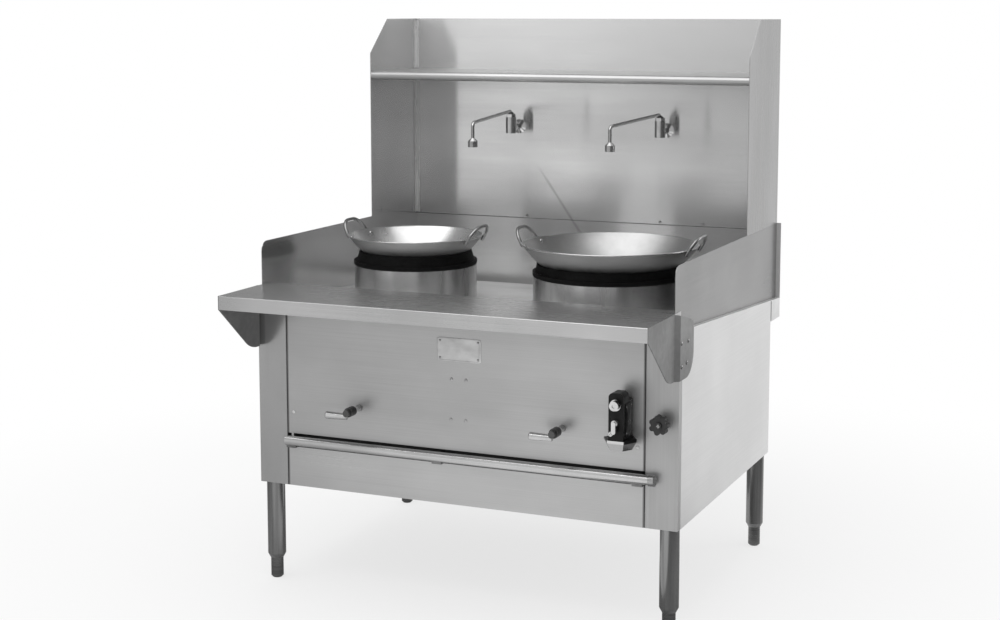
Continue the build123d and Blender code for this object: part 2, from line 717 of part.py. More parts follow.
# Fire chambers, one for each wok
for side, sign in sides:
    x = sign * burner_offset
    outer = collar_radius[side]
    axis = Axis((x, burner_y, 0), (0, 0, 1))
    section = radial_plane(x, burner_y)

    # Collar: a polished band that stands on the sloping deck
    with BuildPart() as collar:
        with BuildSketch(Plane.XY.offset(gutter_floor)):
            with Locations((x, burner_y)):
                Circle(outer)
                Circle(outer - collar_wall, mode=Mode.SUBTRACT)
        extrude(amount=collar_top - chamber_flange - gutter_floor)
        with BuildSketch(Plane.YZ.offset(-body_width)):
            face_of((shelf_front, gutter_floor), (rear, gutter_floor), (rear, deck_z(rear)),
                    (shelf_front, deck_z(shelf_front)))
        extrude(amount=2 * body_width, mode=Mode.SUBTRACT)
    save(collar, f"{side}_collar")

    # Chamber: a steel pot that hangs by its rim on the collar
    pot = outer - collar_wall - chamber_gap
    with BuildPart() as chamber:
        turned(section, axis, (
            (burner_hole_radius, chamber_bottom), (pot, chamber_bottom), (pot, collar_top - chamber_flange),
            (outer, collar_top - chamber_flange), (outer, collar_top), (pot - chamber_wall, collar_top),
            (pot - chamber_wall, chamber_bottom + chamber_wall),
            (burner_hole_radius, chamber_bottom + chamber_wall)))
    save(chamber, f"{side}_chamber")

    # Lining: fired clay, a floor with a hole for the burner and a wall
    lining_outer = pot - chamber_wall - seat_gap
    lining_inner = lining_outer - lining_thickness
    lining_base = chamber_bottom + chamber_wall
    lining_top = collar_top - lining_drop
    with BuildPart() as lining:
        turned(section, axis, (
            (burner_hole_radius, lining_base), (lining_outer, lining_base), (lining_outer, lining_top),
            (lining_inner, lining_top), (lining_inner, lining_base + lining_floor),
            (burner_hole_radius, lining_base + lining_floor)))
    save(lining, f"{side}_lining")

    # Wok: a round-bottomed bowl with a beaded rim
    rim = collar_top + wok_rise[side]
    radius = wok_radius[side]
    depth = wok_depth[side]
    sphere = (radius ** 2 + depth ** 2) / (2 * depth)
    centre_z = rim + sphere - depth
    inner_sphere = sphere - wok_wall
    inner_radius = math.sqrt(inner_sphere ** 2 - (centre_z - rim) ** 2)
    half_turn = math.atan2(radius, centre_z - rim) / 2
    with BuildPart() as wok:
        with BuildSketch(radial_plane(x, burner_y)):
            with BuildLine():
                ThreePointArc((0, rim - depth),
                              (sphere * math.sin(half_turn), centre_z - sphere * math.cos(half_turn)),
                              (radius, rim))
                Line((radius, rim), (inner_radius, rim))
                ThreePointArc((inner_radius, rim),
                              (inner_sphere * math.sin(half_turn),
                               centre_z - inner_sphere * math.cos(half_turn)),
                              (0, centre_z - inner_sphere))
                Line((0, centre_z - inner_sphere), (0, rim - depth))
            make_face()
        revolve(axis=axis)
    save(wok, f"{side}_wok")

    # Wok ring: cast iron, a flange on the chamber's rim and a tapered wall with a conical seat
    top = collar_top + ring_rise[side]
    seat_middle = top - ring_seat / 2
    seat_radius = math.sqrt(sphere ** 2 - (centre_z - seat_middle) ** 2)
    seat_tilt = seat_radius / (centre_z - seat_middle)
    seat_clear = seat_gap * math.hypot(1, 1 / seat_tilt)
    seat_top_radius = seat_radius + seat_clear + (ring_seat / 2) / seat_tilt
    seat_low_radius = seat_radius + seat_clear - (ring_seat / 2) / seat_tilt
    flange_top = collar_top + ring_flange
    ring_outer = outer + ring_overhang
    wall_low = outer - ring_lip_inset
    with BuildPart() as wok_ring:
        turned(section, axis, (
            (seat_low_radius, top - ring_seat), (seat_top_radius, top),
            (seat_top_radius + ring_wall / 2, top),
            (wall_low + ring_wall, flange_top), (ring_outer, flange_top), (ring_outer, collar_top),
            (wall_low, collar_top), (wall_low, collar_top - ring_lip_drop),
            (wall_low - ring_lip_wall, collar_top - ring_lip_drop)))
    save(wok_ring, f"{side}_wok_ring")

    # Wok handles: a bent rod on each side of the rim, leaning outwards
    with BuildPart() as wok_handles:
        rod = handle_rod / 2
        half_spread = handle_spread / 2
        at_rim = math.sqrt(radius ** 2 - (half_spread - rod) ** 2)
        at_rim += (rod + seat_gap) * math.hypot(1, handle_lean)
        for way in (-1, 1):
            feet = at_rim - handle_lean * handle_drop
            tops = at_rim + handle_lean * handle_rise
            points = [(x + way * feet, burner_y - half_spread, rim - handle_drop),
                      (x + way * tops, burner_y - handle_top_spread / 2, rim + handle_rise),
                      (x + way * tops, burner_y + handle_top_spread / 2, rim + handle_rise),
                      (x + way * feet, burner_y + half_spread, rim - handle_drop)]
            with BuildLine() as rod_line:
                FilletPolyline(*points, radius=handle_corner)
            start = Vector(*points[0])
            with BuildSketch(Plane(origin=start, z_dir=Vector(*points[1]) - start)):
                Circle(rod)
            sweep(path=rod_line.wires()[0])
    save(wok_handles, f"{side}_wok_handles")

    # Burner: a cast head of jets on a riser, fed by a venturi that opens to the front
    mouth = front + venturi_mouth
    stem = Axis((x, 0, venturi_height), (0, 1, 0))
    with BuildPart() as burner:
        turned(section, axis, (
            (0, venturi_height), (riser_radius, venturi_height), (riser_radius, head_base),
            (head_radius, chamber_bottom - burner_flange),
            (burner_flange_radius, chamber_bottom - burner_flange), (burner_flange_radius, chamber_bottom),
            (head_radius, chamber_bottom), (head_radius, head_height), (0, head_height)))
        turned(stem_plane(x, venturi_height), stem, (
            (0, mouth), (mouth_flange_radius, mouth), (mouth_flange_radius, mouth + mouth_flange),
            (venturi_bell + venturi_wall, mouth + mouth_flange),
            (venturi_throat + venturi_wall, mouth + venturi_bell_length),
            (elbow_radius, burner_y - elbow_radius), (elbow_radius, burner_y + elbow_radius),
            (0, burner_y + elbow_radius)))
        turned(stem_plane(x, venturi_height), stem, (
            (0, mouth), (venturi_bell, mouth), (venturi_throat, mouth + venturi_bell_length),
            (venturi_throat, burner_y), (0, burner_y)), mode=Mode.SUBTRACT)
        for row in range(jet_rows):
            with BuildSketch(Plane.XY.offset(head_height)):
                with Locations((x, burner_y)):
                    with PolarLocations(row * jet_pitch, max(1, row * jet_count)):
                        RegularPolygon(jet_radius, 6)
                        Circle(jet_bore / 2, mode=Mode.SUBTRACT)
            extrude(amount=jet_height)
    save(burner, f"{side}_burner")

    # Air shutter: a windowed disc that turns on the gas spud in front of the venturi
    with BuildPart() as shutter:
        with BuildSketch(front_plane(mouth - seat_gap)):
            with Locations((x, venturi_height)):
                Circle(mouth_flange_radius)
                Circle(spud_radius + running_clearance, mode=Mode.SUBTRACT)
                with PolarLocations(shutter_window_circle, shutter_windows):
                    Circle(shutter_window, mode=Mode.SUBTRACT)
        extrude(amount=shutter_thickness)
    save(shutter, f"{side}_air_shutter")

    # Gas valve: a turned body on the manifold, with a bushing to the front and a spud to the rear
    with BuildPart() as gas_valve:
        turned(stem_plane(x, venturi_height), stem, (
            (stem_radius + running_clearance, front - bushing_reach), (bushing_radius, front - bushing_reach),
            (bushing_radius, front + valve_front), (valve_radius, front + valve_front),
            (valve_radius, front + valve_back), (spud_radius, front + valve_back),
            (spud_radius, front + valve_back + spud_length), (0, front + valve_back + spud_length),
            (0, front + stem_depth), (stem_radius + running_clearance, front + stem_depth)))
        with BuildSketch(Plane.XY.offset(manifold_height + manifold_diameter / 2 + seat_gap)):
            with Locations((x, manifold_y)):
                Circle(nipple_radius)
        extrude(amount=venturi_height - stem_radius * 2 - manifold_height - manifold_diameter / 2)
    save(gas_valve, f"{side}_gas_valve")

    # Knee lever: a stem in the valve, a round hub with a boss and a turned grip that points to the left
    hub_back = front - bushing_reach - lever_hub_gap
    hub_front = hub_back - lever_hub_length
    boss_front = hub_front - lever_boss_length
    grip_y = (hub_front + boss_front) / 2
    grip_z = venturi_height - lever_drop
    with BuildPart() as knee_lever:
        turned(stem_plane(x, venturi_height), stem, (
            (0, front + stem_depth - seat_gap), (stem_radius, front + stem_depth - seat_gap),
            (stem_radius, hub_back), (lever_hub_radius, hub_back), (lever_hub_radius, hub_front),
            (lever_boss_radius, hub_front), (lever_boss_radius, boss_front), (0, boss_front)))
        with BuildSketch(Plane(origin=(x, grip_y, grip_z), x_dir=(-1, 0, 0), z_dir=(0, -1, 0))) as grip:
            face_of((0, 0), (lever_length, 0), (lever_length, grip_radius),
                    (lever_boss_radius, grip_neck_radius), (0, grip_neck_radius))
            fillet(grip.vertices().group_by(Axis.X)[-1].sort_by(Axis.Y)[-1:], radius=grip_corner)
        revolve(axis=Axis((x, grip_y, grip_z), (1, 0, 0)))
    save(knee_lever, f"{side}_knee_lever")

# Gas manifold: a pipe behind the front panel that turns back to the rear inlet, with the valve's branch
with BuildPart() as gas_manifold:
    start = (-burner_offset - manifold_end_reach, manifold_y, manifold_height)
    nipple_start = body_rear + manifold_stub - inlet_nipple
    with BuildLine() as manifold_line:
        FilletPolyline(start, (manifold_side, manifold_y, manifold_height),
                       (manifold_side, nipple_start, manifold_height), radius=manifold_bend)
    with BuildSketch(Plane(origin=start, z_dir=(1, 0, 0))):
        Circle(manifold_diameter / 2)
        Circle(manifold_diameter / 2 - manifold_wall, mode=Mode.SUBTRACT)
    sweep(path=manifold_line.wires()[0])
    with BuildSketch(Plane(origin=start, z_dir=(1, 0, 0))):
        Circle(manifold_diameter / 2)
    extrude(amount=manifold_wall)
    for length, wall in ((-inlet_nipple, 0), (coupling_length, coupling_wall)):
        with BuildSketch(front_plane(nipple_start)):
            with Locations((manifold_side, manifold_height)):
                Circle(manifold_diameter / 2 + wall)
                Circle(manifold_diameter / 2 - manifold_wall, mode=Mode.SUBTRACT)
        extrude(amount=length)
    branch_x = safety_offset - manifold_bend
    start = (branch_x, manifold_y, manifold_height + manifold_diameter / 2 - manifold_wall / 2)
    with BuildLine() as branch_line:
        FilletPolyline(start, (branch_x, manifold_y, safety_port_height),
                       (safety_offset, manifold_y, safety_port_height),
                       (safety_offset, front + panel_return, safety_port_height), radius=branch_bend)
    with BuildSketch(Plane(origin=start, z_dir=(0, 0, 1))):
        Circle(nipple_radius)
    sweep(path=branch_line.wires()[0])
save(gas_manifold, "gas_manifold")

# Pilot safety valve: a deep narrow body with a taller rounded head, a tapered hex nut and a port
# through the panel
nut_top = safety_bottom + safety_nut_height
body_base = nut_top + safety_collar_height
valve_face = safety_y - safety_body_depth / 2
with BuildPart() as safety_valve_body:
    for height, width in ((safety_bottom, safety_nut_width), (nut_top, safety_collar_width)):
        with BuildSketch(Plane.XY.offset(height)):
            with Locations((safety_offset, safety_y)):
                RegularPolygon(width / 2, 6, major_radius=False)
    loft()
    with BuildSketch(Plane.XY.offset(nut_top)):
        with Locations((safety_offset, safety_y)):
            RegularPolygon(safety_collar_width / 2, 6, major_radius=False)
    extrude(amount=safety_collar_height)
    for depth, rise, corner in ((safety_body_depth, safety_body_rise, safety_body_corner),
                                (safety_head_depth, safety_head_rise, safety_head_corner)):
        top = venturi_height + rise
        with BuildSketch(front_plane(valve_face + depth)) as outline:
            with Locations((safety_offset, (body_base + top) / 2)):
                Rectangle(safety_body_width, top - body_base)
            fillet(outline.vertices().group_by(Axis.Y)[-1], radius=corner)
        extrude(amount=depth)
    with BuildSketch(front_plane(front + panel_return - seat_gap)):
        with Locations((safety_offset, safety_port_height)):
            Circle(nipple_radius)
    extrude(amount=panel_return - seat_gap + safety_standoff)
    with BuildSketch(front_plane(valve_face)):
        with Locations((safety_offset, button_height)):
            Circle(bezel_radius)
    extrude(amount=bezel_length)
    with BuildSketch(front_plane(valve_face - bezel_length)):
        with Locations((safety_offset, button_height)):
            Circle(button_guide_radius + running_clearance)
    extrude(amount=-bezel_length - button_guide_length, mode=Mode.SUBTRACT)
    with BuildSketch(front_plane(valve_face)):
        with Locations((safety_offset, cock_height)):
            Circle(stem_radius + running_clearance)
    extrude(amount=-button_guide_length, mode=Mode.SUBTRACT)
save(safety_valve_body, "safety_valve_body")

# Reset button: a dished cap on a guide pin
with BuildPart() as reset_button:
    push_axis = Axis((safety_offset, 0, button_height), (0, 1, 0))
    cap_back = valve_face - bezel_length - button_travel - seat_gap
    turned(stem_plane(safety_offset, button_height), push_axis, (
        (0, cap_back + button_guide_length), (button_guide_radius, cap_back + button_guide_length),
        (button_guide_radius, cap_back), (button_radius, cap_back),
        (button_radius, cap_back - button_travel),
        (button_dish, cap_back - button_travel), (button_dish, cap_back - button_travel / 2),
        (0, cap_back - button_travel / 2)))
save(reset_button, "reset_button")

# Pilot cock: a small hub with a thumb bar that hangs down
with BuildPart() as pilot_cock:
    cock_axis = Axis((safety_offset, 0, cock_height), (0, 1, 0))
    hub_end = valve_face - seat_gap - cock_hub_length
    turned(stem_plane(safety_offset, cock_height), cock_axis, (
        (0, valve_face + button_guide_length - seat_gap),
        (stem_radius, valve_face + button_guide_length - seat_gap), (stem_radius, valve_face - seat_gap),
        (cock_hub_radius, valve_face - seat_gap), (cock_hub_radius, hub_end), (0, hub_end)))
    with BuildSketch(front_plane(hub_end)):
        with Locations((safety_offset, cock_height - cock_length / 2 + cock_width / 2)):
            SlotOverall(cock_length, cock_width, rotation=90)
    extrude(amount=cock_thickness)
save(pilot_cock, "pilot_cock")

# Water valve: a turned body behind the right post
knob_axis = Axis((knob_offset, 0, knob_height), (0, 1, 0))
with BuildPart() as water_valve:
    turned(stem_plane(knob_offset, knob_height), knob_axis, (
        (stem_radius + running_clearance, front - bushing_reach), (bushing_radius, front - bushing_reach),
        (bushing_radius, front + valve_front), (water_valve_radius, front + valve_front),
        (water_valve_radius, front + valve_front + water_valve_length),
        (0, front + valve_front + water_valve_length), (0, front + stem_depth),
        (stem_radius + running_clearance, front + stem_depth)))
save(water_valve, "water_valve")

# Water knob: a lobed grip on a stem
with BuildPart() as water_knob:
    grip_back = front - bushing_reach - knob_gap
    turned(stem_plane(knob_offset, knob_height), knob_axis, (
        (0, front + stem_depth - seat_gap), (stem_radius, front + stem_depth - seat_gap),
        (stem_radius, grip_back), (knob_boss_radius, grip_back),
        (knob_boss_radius, grip_back - knob_length - knob_boss_length),
        (0, grip_back - knob_length - knob_boss_length)))
    with BuildSketch(front_plane(grip_back)):
        with Locations((knob_offset, knob_height)):
            Circle(knob_radius)
            with PolarLocations(knob_lobe_circle, knob_lobes):
                Circle(knob_lobe_radius)
    extrude(amount=knob_length)
save(water_knob, "water_knob")

# Water pipes: the inlet pipe from the rear, and the pipe that climbs behind the backsplash to the faucets
with BuildPart() as water_pipes:
    valve_end = front + valve_front + water_valve_length
    start = (knob_offset, valve_end, knob_height)
    far_end = faucet_share["left"] * body_width - 2 * faucet_tail_radius
    with BuildLine() as climb:
        FilletPolyline(start, (knob_offset, pipe_y, knob_height), (knob_offset, pipe_y, faucet_height),
                       (far_end, pipe_y, faucet_height), radius=water_bend)
    with BuildSketch(Plane(origin=start, z_dir=(0, 1, 0))):
        Circle(water_pipe_diameter / 2)
    sweep(path=climb.wires()[0])
    start = (knob_offset, valve_end - water_valve_radius, knob_height - water_valve_radius - seat_gap)
    with BuildLine() as feed:
        FilletPolyline(start, (knob_offset, valve_end - water_valve_radius, inlet_height),
                       (knob_offset, body_rear + inlet_stub, inlet_height), radius=water_bend)
    with BuildSketch(Plane(origin=start, z_dir=(0, 0, -1))):
        Circle(inlet_diameter / 2)
    sweep(path=feed.wires()[0])
    with BuildSketch(front_plane(body_rear + inlet_stub - inlet_nipple)):
        with Locations((knob_offset, inlet_height)):
            Circle(inlet_diameter / 2 + coupling_wall)
    extrude(amount=coupling_length)
save(water_pipes, "water_pipes")

# Faucets on the backsplash, each with a swinging spout
for side, sign in sides:
    x = faucet_share[side] * body_width
    axis = Axis((x, faucet_y, 0), (0, 0, 1))
    nut_top = faucet_body_top + faucet_nut_height
    shank = Axis((x, 0, faucet_height), (0, 1, 0))

    # Faucet body: wall flange, shank and an upright body with a hex nut
    with BuildPart() as faucet_body:
        tail_end = pipe_y - water_pipe_diameter / 2 - seat_gap
        turned(stem_plane(x, faucet_height), shank, (
            (0, tail_end), (faucet_tail_radius, tail_end), (faucet_tail_radius, back_face),
            (faucet_flange_radius, back_face), (faucet_flange_radius, back_face - faucet_flange / 2),
            (faucet_shank_radius, back_face - faucet_flange), (faucet_shank_radius, faucet_y), (0, faucet_y)))
        with BuildSketch(Plane.XY.offset(faucet_body_bottom)):
            with Locations((x, faucet_y)):
                Circle(faucet_body_radius)
        extrude(amount=faucet_body_top - faucet_body_bottom)
        with BuildSketch(Plane.XY.offset(faucet_body_top)):
            with Locations((x, faucet_y)):
                RegularPolygon(faucet_nut_width / 2, 6, major_radius=False)
        extrude(amount=faucet_nut_height)
        with BuildSketch(Plane.XY.offset(nut_top)):
            with Locations((x, faucet_y)):
                Circle(spout_stem_radius + running_clearance)
        extrude(amount=-spout_stem_depth, mode=Mode.SUBTRACT)
    save(faucet_body, f"{side}_faucet_body")

    # Spout: a thin tube that turns in the nut, droops a little and ends in a nozzle
    turn = math.radians(spout_angle[side])
    reach_x = x + spout_reach * math.sin(turn)
    reach_y = faucet_y - spout_reach * math.cos(turn)
    spout_top = faucet_height + spout_rise
    elbow = spout_top - spout_droop
    nozzle_end = elbow - spout_nozzle_drop
    with BuildPart() as spout:
        collar_base = nut_top + seat_gap
        turned(radial_plane(x, faucet_y), axis, (
            (0, nut_top - spout_stem_depth + seat_gap),
            (spout_stem_radius, nut_top - spout_stem_depth + seat_gap),
            (spout_stem_radius, collar_base), (spout_collar_radius, collar_base),
            (spout_tube / 2, collar_base + spout_collar_height), (0, collar_base + spout_collar_height)))
        start = (x, faucet_y, nut_top - spout_stem_depth + seat_gap)
        with BuildLine() as arm:
            FilletPolyline(start, (x, faucet_y, spout_top), (reach_x, reach_y, elbow),
                           (reach_x, reach_y, nozzle_end), radius=spout_corner)
        with BuildSketch(Plane(origin=start, z_dir=(0, 0, 1))):
            Circle(spout_tube / 2)
        sweep(path=arm.wires()[0])
        tip_end = nozzle_end - spout_tip_length
        turned(radial_plane(reach_x, reach_y), Axis((reach_x, reach_y, 0), (0, 0, 1)), (
            (0, nozzle_end), (spout_tube / 2, nozzle_end),
            (spout_tip_radius, nozzle_end - spout_tip_length / 3), (spout_tip_radius, tip_end),
            (0, tip_end)))
    save(spout, f"{side}_spout")
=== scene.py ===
import math

import bmesh
import bpy
import numpy as np
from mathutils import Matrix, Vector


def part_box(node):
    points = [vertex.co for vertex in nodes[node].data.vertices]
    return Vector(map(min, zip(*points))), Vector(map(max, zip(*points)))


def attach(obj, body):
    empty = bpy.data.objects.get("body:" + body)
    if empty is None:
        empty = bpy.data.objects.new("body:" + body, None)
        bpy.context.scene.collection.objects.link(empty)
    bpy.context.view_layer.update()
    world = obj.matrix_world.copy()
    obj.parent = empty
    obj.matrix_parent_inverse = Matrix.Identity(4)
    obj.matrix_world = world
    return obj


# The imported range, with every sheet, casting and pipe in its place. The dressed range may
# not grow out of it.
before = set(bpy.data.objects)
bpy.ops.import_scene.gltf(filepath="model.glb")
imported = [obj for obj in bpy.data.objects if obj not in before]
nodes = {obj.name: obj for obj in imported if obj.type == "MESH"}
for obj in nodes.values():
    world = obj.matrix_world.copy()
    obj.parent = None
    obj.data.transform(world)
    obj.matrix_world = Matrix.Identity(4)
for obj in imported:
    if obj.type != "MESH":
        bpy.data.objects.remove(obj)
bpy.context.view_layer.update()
mm = 0.001

# Legs and feet: four lengths of steel pipe with a tapered end, welded to pads under the base
# frame, and turned feet that screw up into them. The pipe is grey and streaked along its length.
def add(tree, kind, **inputs):
    """One shader node: a plain value is set on its socket, another node's output is joined to it."""
    made = tree.nodes.new("ShaderNode" + kind)
    for key, value in inputs.items():
        if hasattr(made, key):
            setattr(made, key, value)
        elif isinstance(value, bpy.types.NodeSocket):
            tree.links.new(value, made.inputs[key.replace("_", " ")])
        else:
            made.inputs[key.replace("_", " ")].default_value = value
    return made


def reckon(tree, operation, first, second=0.0):
    """One step of arithmetic on two numbers or outputs."""
    made = tree.nodes.new("ShaderNodeMath")
    made.operation = operation
    for socket, value in zip(made.inputs, (first, second)):
        if isinstance(value, bpy.types.NodeSocket):
            tree.links.new(value, socket)
        else:
            socket.default_value = value
    return made.outputs["Value"]


def ease(tree, value, low, high, start=0.0, end=1.0):
    """Goes smoothly from start to end while value goes from low to high."""
    return add(tree, "MapRange", interpolation_type="SMOOTHSTEP", Value=value, From_Min=low,
               From_Max=high, To_Min=start, To_Max=end).outputs["Result"]


def worn_metal(name, dark, light, rough, grain, patches=(2, 2, 2), share=0.5, metallic=0.9,
               bump=0.04):
    """Metal with fine streaks drawn out along its grain and broad cloudy patches.
    grain and patches are how often each pattern changes in a metre along x, y and z."""
    finish = bpy.data.materials.new(name)
    finish.use_nodes = True
    tree = finish.node_tree
    shader = tree.nodes["Principled BSDF"]
    shader.inputs["Metallic"].default_value = metallic
    place = add(tree, "TexCoord").outputs["Object"]
    drawn = add(tree, "Mapping", Vector=place, Scale=grain).outputs["Vector"]
    spread = add(tree, "Mapping", Vector=place, Scale=patches).outputs["Vector"]
    streaks = add(tree, "TexNoise", Vector=drawn, Scale=1.0, Detail=5.0).outputs["Fac"]
    clouds = add(tree, "TexNoise", Vector=spread, Scale=1.0, Detail=4.0).outputs["Fac"]
    both = reckon(tree, "ADD", reckon(tree, "MULTIPLY", streaks, share),
                  reckon(tree, "MULTIPLY", clouds, 1 - share))
    tones = add(tree, "ValToRGB", Fac=both)
    for stop, position, colour in zip(tones.color_ramp.elements, (0.36, 0.64), (dark, light)):
        stop.position = position
        stop.color = (*np.broadcast_to(colour, 3), 1.0)
    tree.links.new(tones.outputs["Color"], shader.inputs["Base Color"])
    dull = add(tree, "MapRange", Value=both, From_Min=0.3, From_Max=0.7, To_Min=rough + 0.05,
               To_Max=rough - 0.05).outputs["Result"]
    tree.links.new(dull, shader.inputs["Roughness"])
    ridges = add(tree, "Bump", Strength=bump, Distance=0.0004, Height=streaks).outputs["Normal"]
    tree.links.new(ridges, shader.inputs["Normal"])
    return finish


def dress(finish, *names):
    """Gives one finish to several CAD nodes."""
    for name in names:
        nodes[name].data.materials.clear()
        nodes[name].data.materials.append(finish)


def along(finish, axis):
    """The place on a piece along one axis, in metres."""
    tree = finish.node_tree
    split = add(tree, "SeparateXYZ", Vector=add(tree, "TexCoord").outputs["Object"])
    return split.outputs[axis]


def shade(finish, value, stops):
    """Multiplies a finish's colour by a grey that value picks from the stops, given as
    (value, grey)."""
    tree = finish.node_tree
    shader = tree.nodes["Principled BSDF"]
    first, last = stops[0][0], stops[-1][0]
    reach = add(tree, "MapRange", Value=value, From_Min=first, From_Max=last).outputs["Result"]
    greys = add(tree, "ValToRGB", Fac=reach)
    marks = greys.color_ramp.elements
    marks[0].color = (*np.broadcast_to(stops[0][1], 3), 1.0)
    marks[1].color = (*np.broadcast_to(stops[-1][1], 3), 1.0)
    for place, grey in stops[1:-1]:
        marks.new((place - first) / (last - first)).color = (*np.broadcast_to(grey, 3), 1.0)
    both = tree.nodes.new("ShaderNodeMix")
    both.data_type = "RGBA"
    both.blend_type = "MULTIPLY"
    both.inputs[0].default_value = 1.0
    tree.links.new(shader.inputs["Base Color"].links[0].from_socket, both.inputs[6])
    tree.links.new(greys.outputs["Color"], both.inputs[7])
    tree.links.new(both.outputs[2], shader.inputs["Base Color"])


leg_grey = worn_metal("leg_pipe_grey", 0.18, 0.34, 0.16, (90, 90, 2), share=0.7)
dress(leg_grey, "pipe_legs")
foot_steel = worn_metal("turned_foot_steel", 0.13, 0.22, 0.28, (6, 6, 220))
dress(foot_steel, "foot_front_left", "foot_front_right", "foot_rear_left", "foot_rear_right")

# Base frame: a ring of welded steel angle under the sheets, which carries them and the legs.
# It is painted dark grey, and only its lower edge shows.
frame_paint = worn_metal("frame_paint", 0.05, 0.09, 0.5, (30, 30, 30), metallic=0.0)
dress(frame_paint, "base_frame")

# Body sheets: satin stainless, brushed along its length. The sides and the rear are plain sheets,
# the posts wrap the front corners, and the front and kick panels are trays hung between them.
side_sheet = worn_metal("side_sheet", 0.72, 0.82, 0.36, (700, 2, 700), (2, 2, 2), 0.3, 0.6)
dress(side_sheet, "left_side_panel", "right_side_panel")
left_post = worn_metal("left_post_sheet", 0.42, 0.52, 0.2, (700, 700, 2), (5, 5, 2), 0.35, 0.75)
dress(left_post, "left_post")
right_post = worn_metal("right_post_sheet", 0.42, 0.52, 0.44, (700, 700, 2), (5, 5, 2), 0.35, 0.7)
dress(right_post, "right_post")
front_sheet = worn_metal("front_sheet", 0.46, 0.56, 0.37, (2, 700, 700), (2, 2, 5), 0.35, 0.7)
dress(front_sheet, "front_panel")
kick_sheet = worn_metal("kick_sheet", 0.48, 0.58, 0.30, (2, 700, 700), (2, 2, 5), 0.35, 0.75)
dress(kick_sheet, "kick_panel")
rear_sheet = worn_metal("rear_sheet", 0.40, 0.52, 0.38, (2, 700, 700), (3, 3, 3), 0.35, 0.75)
dress(rear_sheet, "rear_panel")


def overlay_finish(finish, share, colour, rough, metallic):
    """Covers a finish with another one where share is 1: colour, roughness and metal go over
    together."""
    tree = finish.node_tree
    shader = tree.nodes["Principled BSDF"]
    under = shader.inputs["Base Color"].links[0].from_socket
    cover = tree.nodes.new("ShaderNodeMix")
    cover.data_type = "RGBA"
    tree.links.new(share, cover.inputs[0])
    tree.links.new(under, cover.inputs[6])
    cover.inputs[7].default_value = (*np.broadcast_to(colour, 3), 1.0)
    tree.links.new(cover.outputs[2], shader.inputs["Base Color"])
    for label, value in (("Roughness", rough), ("Metallic", metallic)):
        socket = shader.inputs[label]
        before = socket.links[0].from_socket if socket.links else socket.default_value
        blend = tree.nodes.new("ShaderNodeMix")
        tree.links.new(share, blend.inputs[0])
        blend.inputs[3].default_value = value
        if isinstance(before, bpy.types.NodeSocket):
            tree.links.new(before, blend.inputs[2])
        else:
            blend.inputs[2].default_value = before
        tree.links.new(blend.outputs[0], socket)


# The front, kick and post sheets turn darker in a band a few millimetres wide along the seams beside the
# front panel: painted shade of the gaps, with grime in the joints.
panel_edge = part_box("front_panel")[1].x
for finish in (front_sheet, kick_sheet, left_post, right_post):
    tree = finish.node_tree
    seam_line = reckon(tree, "SUBTRACT", reckon(tree, "ABSOLUTE", along(finish, "X")), panel_edge)
    seam_shade_and_grime = ease(tree, reckon(tree, "ABSOLUTE", seam_line), 2 * mm, 5 * mm, 1.0, 0.0)
    shade(finish, seam_shade_and_grime, ((0, 1.0), (1, 0.36)))
front_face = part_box("front_panel")[0].y
# The kick panel more than a few millimetres behind its front face, up inside the air slot, is made near
# black and dull: painted shade in the slot.
slot_painted_shade = ease(kick_sheet.node_tree, along(kick_sheet, "Y"), front_face + 2 * mm, front_face + 5 * mm)
overlay_finish(kick_sheet, slot_painted_shade, 0.012, 0.7, 0.0)

# Panel fasteners: round slotted screws, four that hold the gas train's bracket behind the front panel,
# one at each of its edges and a row down each edge of the rear panel.
def surface(name, points, finish, body, closed=(False, True), crease=38):
    """Skin over one or more grids of points, (copies, rows, columns, 3). Rows or columns may close on
    themselves; doubled points at the poles are merged and the faces turned outwards."""
    points = np.asarray(points, float)
    points = points.reshape(-1, *points.shape[-3:])
    copies, rows, columns = points.shape[:3]
    index = np.arange(rows * columns).reshape(rows, columns)
    index = np.vstack((index, index[:1])) if closed[0] else index
    index = np.hstack((index, index[:, :1])) if closed[1] else index
    quads = np.stack((index[:-1, :-1], index[1:, :-1], index[1:, 1:], index[:-1, 1:]), -1)
    quads = (quads.reshape(1, -1, 4) + rows * columns * np.arange(copies).reshape(-1, 1, 1)).reshape(-1, 4)
    mesh = bpy.data.meshes.new(name)
    mesh.from_pydata(points.reshape(-1, 3).tolist(), [], quads.tolist())
    shell = bmesh.new()
    shell.from_mesh(mesh)
    bmesh.ops.remove_doubles(shell, verts=shell.verts, dist=1e-6)
    bmesh.ops.recalc_face_normals(shell, faces=shell.faces)
    shell.to_mesh(mesh)
    shell.free()
    mesh.polygons.foreach_set("use_smooth", np.ones(len(mesh.polygons), bool))
    mesh.set_sharp_from_angle(angle=math.radians(crease))
    mesh.materials.append(finish)
    piece = bpy.data.objects.new(name, mesh)
    bpy.context.scene.collection.objects.link(piece)
    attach(piece, body)
    return piece


def turned(profile, centres, axes, sides=24, swell=1.0):
    """A profile of (radius, height) rows carried round an axis at each centre; swell is what the
    radius is multiplied by at each of the angles."""
    profile, centres, axes = (np.atleast_2d(np.asarray(part, float))
                              for part in (profile, centres, axes))
    axes = np.broadcast_to(axes / np.linalg.norm(axes, axis=1, keepdims=True), centres.shape)
    level = np.where(np.abs(axes[:, 2:]) > 0.9, (1.0, 0.0, 0.0), (0.0, 0.0, 1.0))
    across = np.cross(level, axes)
    across /= np.linalg.norm(across, axis=1, keepdims=True)
    upward = np.cross(axes, across)
    angle = np.linspace(0, 2 * np.pi, sides, endpoint=False)
    ring = ((swell * np.cos(angle))[:, None] * across[:, None]
            + (swell * np.sin(angle))[:, None] * upward[:, None])
    out = profile[:, 0].reshape(1, -1, 1, 1) * ring[:, None]
    return centres[:, None, None] + out + profile[:, 1].reshape(1, -1, 1, 1) * axes[:, None, None]


